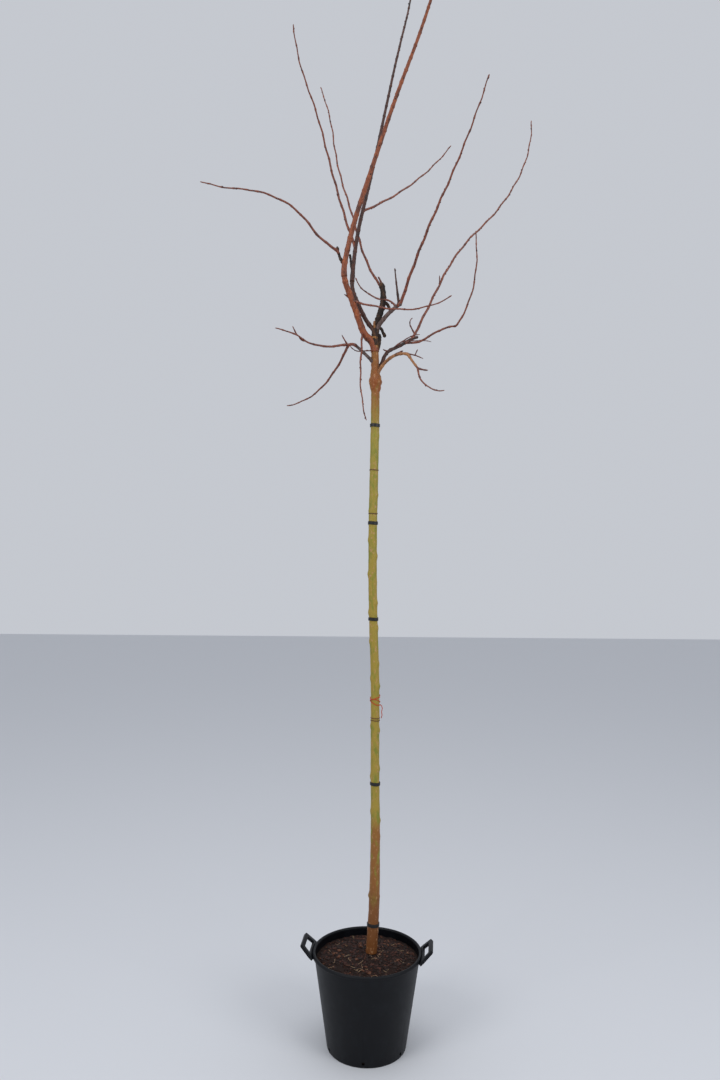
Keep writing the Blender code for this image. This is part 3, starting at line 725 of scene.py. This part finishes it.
class TREE_OT_limbs(bpy.types.Operator):
    """Build the bark of every limb in the table"""
    bl_idname = "tree.limbs"
    bl_label = "Limbs"

    def execute(self, context):
        settings = context.scene.tree_settings
        barks = limb_barks()
        lines = all_lines()
        chance = random.Random(SEED)
        for name, limb in LIMBS.items():
            shape = bmesh.new()
            parent = limb.parent
            parent_length = STEM_LENGTH if parent == "stem" else LIMBS[parent].length
            points = grown_line(limb, lines[name], lines[parent], parent_length)
            radius_at = limb_radius(limb, points, settings.bark_relief, settings.bud_spacing,
                                    chance.random())
            sides = BOUGH_SIDES if limb.base >= BOUGH_DIAMETER else SHOOT_SIDES
            skin(shape, points, radius_at, sides)
            finish_piece(name + "_bark_skin", shape, barks[limb.bark], (name,))
        return {"FINISHED"}


class TREE_OT_twigs(bpy.types.Operator):
    """Build the fine twigs and the buds"""
    bl_idname = "tree.twigs"
    bl_label = "Twigs and buds"

    def execute(self, context):
        settings = context.scene.tree_settings
        lines = all_lines()
        chance = random.Random(SEED + 1)
        shape = bmesh.new()
        for name, limb in TWIGS.items():
            points = lines[name]
            radius_at = limb_radius(limb, points, settings.bark_relief * TWIG_RELIEF,
                                    TWIG_NODE_SPACING, chance.random())
            skin(shape, points, radius_at, TWIG_SIDES)
        # Thin brown skin with a faint shine
        twig_bark = bark_material("fine_twig_skin_grown", "5A2A1E", "7A4030", "35180F", 0.45, 3, 0.2)
        finish_piece("fine_twigs", shape, twig_bark)
        buds = bmesh.new()
        for name, limb in {**LIMBS, **TWIGS}.items():
            if limb.bark not in BUDDED_BARKS or limb.length < BUDDED_LENGTH:
                continue
            add_buds(buds, limb, lines[name], settings.bud_spacing, chance)
        # Dark dry scales, lighter at their edges
        bud_skin = bark_material("bud_scales_grown", "3E1A12", "6E3420", "22100A", 0.5, 2, 0.15)
        finish_piece("buds", buds, bud_skin)
        return {"FINISHED"}


def add_buds(shape, limb, points, spacing, chance):
    """Add small pointed buds on alternate sides of a limb."""
    count = len(points) - 1
    along = spacing * chance.uniform(0.5, 1.0)
    side = chance.uniform(0, math.tau)
    while along < limb.length - BUD_TIP_GAP:
        share = along / limb.length
        index = min(int(share * count), count - 1)
        way = (points[index + 1] - points[index]).normalized()
        across, other = ring_axes(way, Vector(BUD_SIDE))
        out = across * math.cos(side) + other * math.sin(side)
        radius = (limb.base + (limb.tip - limb.base) * share) / 2
        size = BUD_SIZE + BUD_SIZE_SPREAD * chance.random()
        seat = point_on(points, share) + out * radius * BUD_SEAT
        add_bud(shape, seat, (out * BUD_SPLAY + way).normalized(), size)
        side += math.pi + chance.uniform(-0.5, 0.5)
        along += spacing * chance.uniform(0.75, 1.25)


def add_bud(shape, place, way, size):
    """Add one bud: a small egg drawn out to a point."""
    turn = way.to_track_quat("Z", "Y").to_matrix().to_4x4()
    egg = Matrix.Translation(place) @ turn @ Matrix.Diagonal((size, size, size * BUD_STRETCH, 1.0))
    made = bmesh.ops.create_icosphere(shape, subdivisions=2, radius=1.0, matrix=egg)
    for vertex in made["verts"]:
        height = (vertex.co - place).dot(way) / (size * BUD_STRETCH)
        if height > 0:
            middle = place + way * (vertex.co - place).dot(way)
            vertex.co = middle.lerp(vertex.co, 1 - BUD_POINT * height)


class TREE_OT_ties(bpy.types.Operator):
    """Build the bands, rings and twine left on the stem"""
    bl_idname = "tree.ties"
    bl_label = "Ties"

    def execute(self, context):
        line = stem_points()
        # Black soft PVC with a dull shine
        tape, tree, shader = new_material("pvc_tie_tape_extruded", 0.45)
        shader.inputs["Base Color"].default_value = linear_colour("0B0B0D")
        bump_from(tree, shader, patch_noise(tree, 1.5), 0.2)
        for number in range(1, BAND_COUNT + 1):
            node = "tie_band_%d" % number
            low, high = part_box(node)
            add_band(line, "tie_%d" % number, (low.z + high.z) / 2, BAND_WIDTH, BAND_THICKNESS,
                     tape, (node,))
        # Orange-red twine, matt and hairy
        hemp, tree, shader = new_material("rust_twine_twisted", 0.8, 0.2)
        shader.inputs["Base Color"].default_value = linear_colour("B5482A")
        bump_from(tree, shader, patch_noise(tree, 1.0), 0.3)
        add_twine(line, hemp)
        # Brown corky bark that has closed over an old cut
        scar = bark_material("healed_ring_scar_grown", "5A3A18", "7A5224", "3A2410", 0.6, 2, 0.3)
        for number, height in enumerate(RING_SCAR_HEIGHTS, start=1):
            add_band(line, "ring_scar_%d" % number, height, RING_SCAR_WIDTH, RING_SCAR_THICKNESS,
                     scar, ())
        return {"FINISHED"}


def add_band(line, name, height, width, thickness, material, nodes):
    """A flat band round the stem with one end lapped over the other."""
    share = (height - line[0].z) / (line[-1].z - line[0].z)
    centre = point_on(line, share)
    inner = stem_radius(height) + BAND_GAP
    shape = bmesh.new()
    rings = []
    for i in range(BAND_STEPS + 1):
        along = i / BAND_STEPS
        angle = math.tau * along * BAND_TURNS + BAND_START
        lap = max(0.0, (along - 1 + BAND_LAP_SHARE) / BAND_LAP_SHARE)
        corners = []
        for out, up in ((0, -0.5), (1, -0.42), (1, 0.42), (0, 0.5)):
            radius = inner + BAND_LAP_LIFT * lap + out * thickness
            corners.append(shape.verts.new((centre.x + radius * math.cos(angle),
                                            centre.y + radius * math.sin(angle),
                                            height + up * width + BAND_WAVER * math.sin(angle * 2))))
        rings.append(corners)
    for a, b in zip(rings, rings[1:]):
        for k in range(4):
            n = (k + 1) % 4
            shape.faces.new((a[k], b[k], b[n], a[n]))
    shape.faces.new(rings[0])
    shape.faces.new(list(reversed(rings[-1])))
    item = finish_piece(name, shape, material, nodes)
    item.data.set_sharp_from_angle(angle=BAND_SHARP)


def add_twine(line, material):
    """Three loose turns of twine round the stem, with an end that hangs at the right."""
    points = []
    for i in range(TWINE_STEPS + 1):
        share = i / TWINE_STEPS
        angle = math.tau * TWINE_TURNS * share
        height = TWINE_TOP - TWINE_DROP * share + TWINE_WAVER * math.sin(angle * TWINE_WAVER_RATE)
        centre = point_on(line, (height - line[0].z) / (line[-1].z - line[0].z))
        radius = stem_radius(height) + TWINE_GAP
        points.append(Vector((centre.x + radius * math.cos(angle),
                              centre.y + radius * math.sin(angle), height)))
    last = points[-1]
    points += [last + Vector((out, -TWINE_FORWARD, -down)) for out, down in TWINE_END]
    shape = bmesh.new()
    skin(shape, points, lambda i, angle, place, out: TWINE_RADIUS, TWINE_SIDES)
    finish_piece("stem_twine", shape, material)


def wall_radius(height):
    """Outer radius of the pot's straight wall at a height."""
    return FOOT_RADIUS + (WALL_TOP_RADIUS - FOOT_RADIUS) * height / (POT_HEIGHT - BEAD_DEPTH)


def arc(centre_r, centre_z, radius, first, last, steps):
    """Points of an arc in the (r, z) plane, angles in degrees."""
    angles = [math.radians(first + (last - first) * i / steps) for i in range(steps + 1)]
    return [(centre_r + radius * math.cos(a), centre_z + radius * math.sin(a)) for a in angles]


def turned(name, profile, steps):
    """A closed solid turned about Z from an (r, z) outline that ends on the axis."""
    mesh = bpy.data.meshes.new(name)
    edges = [(i, i + 1) for i in range(len(profile) - 1)]
    mesh.from_pydata([(r, 0.0, z) for r, z in profile], edges, [])
    item = new_object(name, mesh)
    screw = item.modifiers.new("turn", "SCREW")
    screw.steps = steps
    screw.render_steps = steps
    screw.use_merge_vertices = True
    screw.merge_threshold = WELD
    return item


def apply_modifiers(item):
    """Replace the object's mesh by its evaluated mesh."""
    graph = bpy.context.evaluated_depsgraph_get()
    graph.update()
    mesh = bpy.data.meshes.new_from_object(item.evaluated_get(graph), depsgraph=graph)
    item.modifiers.clear()
    item.data = mesh


def pot_plastic_material(settings):
    """Recycled polypropylene, moulded: near black, satin, faintly marbled, dusty in its scuffs."""
    material, tree, shader = new_material("polypropylene_moulded", 0.46, 0.2)
    dust = patches(tree, 40, 0.50, 0.80, 1.5, 8.0, 0.35)
    layer_colours(tree, shader, linear_colour(settings.plastic_colour), ((dust, "181D22"),))
    gloss = add_node(tree, "ShaderNodeMapRange", None, Value=patch_noise(tree, 25, 1.0, 6.0),
                     To_Min=0.42, To_Max=0.54).outputs["Result"]
    tree.links.new(gloss, shader.inputs["Roughness"])
    bump_from(tree, shader, patch_noise(tree, 1.2, 1.0, 2.0), 0.04)
    return material


class TREE_OT_pot(bpy.types.Operator):
    """Build the pot's shell and its two handles"""
    bl_idname = "tree.pot"
    bl_label = "Pot"

    def execute(self, context):
        plastic = pot_plastic_material(context.scene.pot_settings)
        under = POT_HEIGHT - BEAD_DEPTH
        inner_foot = wall_radius(FLOOR_THICKNESS) - WALL_THICKNESS
        profile = [(0.0, FLOOR_THICKNESS), (inner_foot - INNER_CORNER, FLOOR_THICKNESS),
                   (inner_foot, FLOOR_THICKNESS + INNER_CORNER),
                   (WALL_TOP_RADIUS - WALL_THICKNESS, under)]
        profile += arc(RIM_RADIUS - BEAD_RADIUS, POT_HEIGHT - BEAD_RADIUS, BEAD_RADIUS, 180, 0,
                       BEAD_STEPS)
        profile += [(RIM_RADIUS, under + LIP_EDGE), (RIM_RADIUS - LIP_EDGE, under),
                    (RIM_RADIUS - LIP_SETBACK, under), (RIM_RADIUS - LIP_INNER, under + LIP_RISE),
                    (WALL_TOP_RADIUS + WALL_FULLNESS, under + LIP_RISE),
                    (WALL_TOP_RADIUS, under - LIP_EDGE),
                    (wall_radius(WALL_BREAK_HEIGHT), WALL_BREAK_HEIGHT)]
        profile += [(FOOT_RADIUS + FOOT_BULGE, FOOT_BEND_HEIGHT), (FOOT_RADIUS, FOOT_EDGE_HEIGHT),
                    (FOOT_RADIUS - FOOT_TUCK, 0.0), (0.0, 0.0)]
        shell = turned("pot_shell_skin", profile, SHELL_STEPS)
        cutters = [drain_cutter(i) for i in range(DRAIN_COUNT)]
        for cutter in cutters:
            hole = shell.modifiers.new("drain", "BOOLEAN")
            hole.operation = "DIFFERENCE"
            hole.object = cutter
        apply_modifiers(shell)
        for cutter in cutters:
            bpy.data.objects.remove(cutter, do_unlink=True)
        shell.data.materials.clear()
        shell.data.materials.append(plastic)
        shell.data.shade_smooth()
        shell.data.set_sharp_from_angle(angle=SHELL_SHARP)
        seat_piece(shell, ("pot_shell",))
        for side in ("left", "right"):
            add_handle(side, plastic)
        return {"FINISHED"}


def drain_cutter(index):
    """A short bar through the wall where a drain hole is."""
    shape = bmesh.new()
    bmesh.ops.create_cone(shape, cap_ends=True, segments=DRAIN_SIDES, radius1=DRAIN_DIAMETER / 2,
                          radius2=DRAIN_DIAMETER / 2, depth=8 * WALL_THICKNESS)
    mesh = bpy.data.meshes.new("drain_cutter")
    shape.to_mesh(mesh)
    shape.free()
    item = new_object("drain_cutter", mesh)
    angle = DRAIN_FIRST_ANGLE + math.tau * index / DRAIN_COUNT
    lie_down = Matrix.Rotation(math.radians(90), 4, "Y")
    place = Matrix.Translation((wall_radius(DRAIN_HEIGHT) - WALL_THICKNESS / 2, 0.0, DRAIN_HEIGHT))
    mesh.transform(Matrix.Rotation(angle, 4, "Z") @ place @ lie_down)
    return item


def add_handle(side, plastic):
    """The handle's solid with its long edges rounded."""
    node = "pot_handle_" + side
    mesh = frame["nodes"][node].data.copy()
    shape = bmesh.new()
    shape.from_mesh(mesh)
    bmesh.ops.remove_doubles(shape, verts=shape.verts, dist=WELD)
    bmesh.ops.dissolve_limit(shape, angle_limit=HANDLE_FLAT, verts=shape.verts, edges=shape.edges)
    shape.to_mesh(mesh)
    shape.free()
    mesh.materials.clear()
    mesh.materials.append(plastic)
    item = new_object(node + "_skin", mesh)
    edge = item.modifiers.new("round", "BEVEL")
    edge.width = HANDLE_ROUNDING
    edge.segments = HANDLE_ROUNDING_STEPS
    edge.angle_limit = HANDLE_CREASE
    apply_modifiers(item)
    item.data.shade_smooth()
    item.data.set_sharp_from_angle(angle=HANDLE_SHARP)
    seat_piece(item, (node,))


SOIL_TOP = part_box("soil_fill")[1].z
SOIL_RADIUS = wall_radius(SOIL_EDGE) - WALL_THICKNESS - SOIL_WALL_GAP


def soil_height(radius):
    """Height of the soil at a distance from the pot's centre."""
    slope = (radius - SOIL_SEAT_RADIUS) / (SOIL_RADIUS - SOIL_SEAT_RADIUS)
    share = max(0.0, min(1.0, slope))
    return SOIL_TOP - (SOIL_TOP - SOIL_EDGE) * (0.5 - 0.5 * math.cos(math.pi * share))


def soil_relief(x, y):
    """Crumbs and hollows of the soil at a place."""
    spot = Vector((x, y, 0.0))
    return sum(height * noise.noise(spot * rate) for height, rate in SOIL_CRUMBS)


class TREE_OT_soil(bpy.types.Operator):
    """Build the potting bark and its loose chips"""
    bl_idname = "tree.soil"
    bl_label = "Soil"

    def execute(self, context):
        settings = context.scene.pot_settings
        shape = bmesh.new()
        middle = shape.verts.new((0.0, 0.0, SOIL_TOP - SOIL_MIDDLE_SINK))
        before = None
        for i in range(1, SOIL_RINGS + 1):
            radius = SOIL_RADIUS * i / SOIL_RINGS
            ring = []
            for k in range(SOIL_SPOKES):
                angle = math.tau * k / SOIL_SPOKES
                x = radius * math.cos(angle)
                y = radius * math.sin(angle)
                z = soil_height(radius) + soil_relief(x, y) - SOIL_SINK
                ring.append(shape.verts.new((x, y, z)))
            for k in range(SOIL_SPOKES):
                n = (k + 1) % SOIL_SPOKES
                if before is None:
                    shape.faces.new((middle, ring[k], ring[n]))
                else:
                    shape.faces.new((before[k], ring[k], ring[n], before[n]))
            before = ring
        foot_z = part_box("soil_fill")[0].z
        foot = [shape.verts.new((v.co.x * SOIL_FOOT_SHARE, v.co.y * SOIL_FOOT_SHARE, foot_z))
                for v in before]
        for k in range(SOIL_SPOKES):
            n = (k + 1) % SOIL_SPOKES
            shape.faces.new((before[k], foot[k], foot[n], before[n]))
        shape.faces.new(list(reversed(foot)))
        # Damp composted bark: matt, very dark brown crumbs
        material, tree, shader = new_material("composted_bark_damp", 0.88, 0.3)
        crumbs = patches(tree, 4, 0.45, 0.65)
        layer_colours(tree, shader, linear_colour(settings.soil_colour), ((crumbs, "2A160E"),))
        bump_from(tree, shader, patch_noise(tree, 1.5), 0.9)
        finish_piece("soil_top", shape, material, ("soil_fill",))
        chance = random.Random(SEED + 2)
        kinds = (("dark", "1E0F09", "2E1810", 0.55), ("red", "3A1A10", "4E2818", 0.33),
                 ("tan", "5A3420", "6E4630", 0.12))
        # Shredded bark, matt, from near black to dull orange
        for kind, low, high, part in kinds:
            chips = bmesh.new()
            for _ in range(int(settings.chip_count * part)):
                add_chip(chips, chance)
            bark = bark_material(kind + "_bark_chip_shredded", low, high, "1E100A", 0.85, 4, 0.4)
            item = finish_piece("bark_chips_" + kind, chips, bark)
            item.data.set_sharp_from_angle(angle=CHIP_SHARP)
        add_fine_roots(chance)
        return {"FINISHED"}


def soil_spot(chance, margin):
    """A random place on the soil, clear of the wall."""
    radius = (SOIL_RADIUS - margin) * math.sqrt(chance.random())
    angle = chance.uniform(0, math.tau)
    return radius * math.cos(angle), radius * math.sin(angle), radius


def add_chip(shape, chance):
    """Add one flat broken chip of bark."""
    length = CHIP_LENGTH + CHIP_LENGTH_SPREAD * chance.random() ** 2
    x, y, radius = soil_spot(chance, CHIP_MARGIN + length / 2)
    z = soil_height(radius) + soil_relief(x, y) - CHIP_SINK
    turn = Matrix.Rotation(chance.uniform(0, math.tau), 4, "Z")
    turn = turn @ Matrix.Rotation(chance.uniform(-CHIP_TILT, CHIP_TILT), 4, "X")
    width = length * chance.uniform(*CHIP_WIDTHS)
    thickness = CHIP_THICKNESS + CHIP_THICKNESS_SPREAD * chance.random()
    size = Matrix.Diagonal((length, width, thickness, 1.0))
    place = Matrix.Translation((x, y, z)) @ turn @ size
    made = bmesh.ops.create_cube(shape, size=1.0, matrix=place)
    for vertex in made["verts"]:
        shift = [chance.uniform(-CHIP_RAGGEDNESS, CHIP_RAGGEDNESS) * length for _ in range(3)]
        vertex.co += Vector(shift)


def add_fine_roots(chance):
    """Add pale fine roots that lie on the soil."""
    shape = bmesh.new()
    for _ in range(ROOT_COUNT):
        x, y, _ = soil_spot(chance, ROOT_MARGIN)
        angle = chance.uniform(0, math.tau)
        length = chance.uniform(*ROOT_LENGTHS)
        points = []
        for i in range(ROOT_STEPS + 1):
            px = x + math.cos(angle) * length * i / ROOT_STEPS
            py = y + math.sin(angle) * length * i / ROOT_STEPS
            far = math.hypot(px, py)
            if far > SOIL_RADIUS - ROOT_WALL_GAP:
                break
            points.append(Vector((px, py, soil_height(far) + soil_relief(px, py) + ROOT_LIFT)))
            angle += chance.uniform(-ROOT_TURN, ROOT_TURN)
        if len(points) > 2:
            skin(shape, points, lambda i, angle, place, out: ROOT_RADIUS, ROOT_SIDES)
    # Dry straw-coloured root skin, matt
    material = bark_material("fine_root_dried", "B09070", "C8AC8A", "7A5C40", 0.8, 2, 0.1)
    finish_piece("fine_roots", shape, material)


class TREE_OT_stage(bpy.types.Operator):
    """Build the floor, the lights and the camera"""
    bl_idname = "tree.stage"
    bl_label = "Stage"

    def execute(self, context):
        shape = bmesh.new()
        corners = ((-1, -1), (1, -1), (1, 1), (-1, 1))
        shape.faces.new([shape.verts.new((x * FLOOR_REACH, y * FLOOR_REACH, 0.0)) for x, y in corners])
        mesh = bpy.data.meshes.new("studio_floor")
        shape.to_mesh(mesh)
        shape.free()
        floor = new_object("studio_floor", mesh)
        # Matt pale paint
        paint, _, shader = new_material("studio_paint_matt", 0.75, 0.3)
        shader.inputs["Base Color"].default_value = linear_colour(FLOOR_COLOUR)
        mesh.materials.append(paint)
        for lamp in LAMPS:
            add_light(lamp)
        world = bpy.data.worlds.new("studio_air")
        context.scene.world = world
        world.use_nodes = True
        air = world.node_tree.nodes["Background"]
        air.inputs["Color"].default_value = linear_colour(AIR_COLOUR)
        air.inputs["Strength"].default_value = AIR_STRENGTH
        lens = bpy.data.cameras.new("camera")
        lens.sensor_fit = "VERTICAL"
        lens.sensor_height = SENSOR_HEIGHT_MM
        lens.lens = SENSOR_HEIGHT_MM / FRAME_HEIGHT_OVER_FOCAL
        camera = new_object("camera", lens)
        camera.location = CAMERA_PLACE
        camera.rotation_euler = (math.radians(90), 0.0, 0.0)
        camera.rotation_euler.rotate_axis("Z", CAMERA_ROLL)
        context.scene.camera = camera
        context.scene.view_settings.view_transform = "Standard"
        return {"FINISHED"}


def add_light(lamp):
    """A soft square light that faces a point."""
    light = bpy.data.lights.new(lamp.name, "AREA")
    light.size = lamp.size
    light.energy = lamp.power
    item = new_object(lamp.name, light)
    item.location = lamp.place
    facing = Vector(lamp.target) - Vector(lamp.place)
    item.rotation_euler = facing.to_track_quat("-Z", "Y").to_euler()


class TREE_PT_panel(bpy.types.Panel):
    """Panel with the settings and a button for each group of pieces."""
    bl_idname = "TREE_PT_panel"
    bl_label = "Potted Standard Tree"
    bl_space_type = "VIEW_3D"
    bl_region_type = "UI"
    bl_category = "Tree"

    def draw(self, context):
        for group in (context.scene.tree_settings, context.scene.pot_settings):
            for name in group.__annotations__:
                self.layout.prop(group, name)
        for operator in OPERATORS:
            self.layout.operator(operator.bl_idname)


OPERATORS = (TREE_OT_pot, TREE_OT_soil, TREE_OT_stem, TREE_OT_limbs, TREE_OT_twigs, TREE_OT_ties,
             TREE_OT_stage)
CLASSES = (TreeSettings, PotSettings, *OPERATORS, TREE_PT_panel)


def register():
    """Register the classes and the settings."""
    for entry in CLASSES:
        bpy.utils.register_class(entry)
    bpy.types.Scene.tree_settings = bpy.props.PointerProperty(type=TreeSettings)
    bpy.types.Scene.pot_settings = bpy.props.PointerProperty(type=PotSettings)


def unregister():
    """Take the settings and the classes away again."""
    del bpy.types.Scene.pot_settings
    del bpy.types.Scene.tree_settings
    for entry in reversed(CLASSES):
        bpy.utils.unregister_class(entry)


def main():
    """Build every piece in order."""
    register()
    bpy.ops.tree.pot()
    bpy.ops.tree.soil()
    bpy.ops.tree.stem()
    bpy.ops.tree.limbs()
    bpy.ops.tree.twigs()
    bpy.ops.tree.ties()
    bpy.ops.tree.stage()


if __name__ == "__main__":
    main()
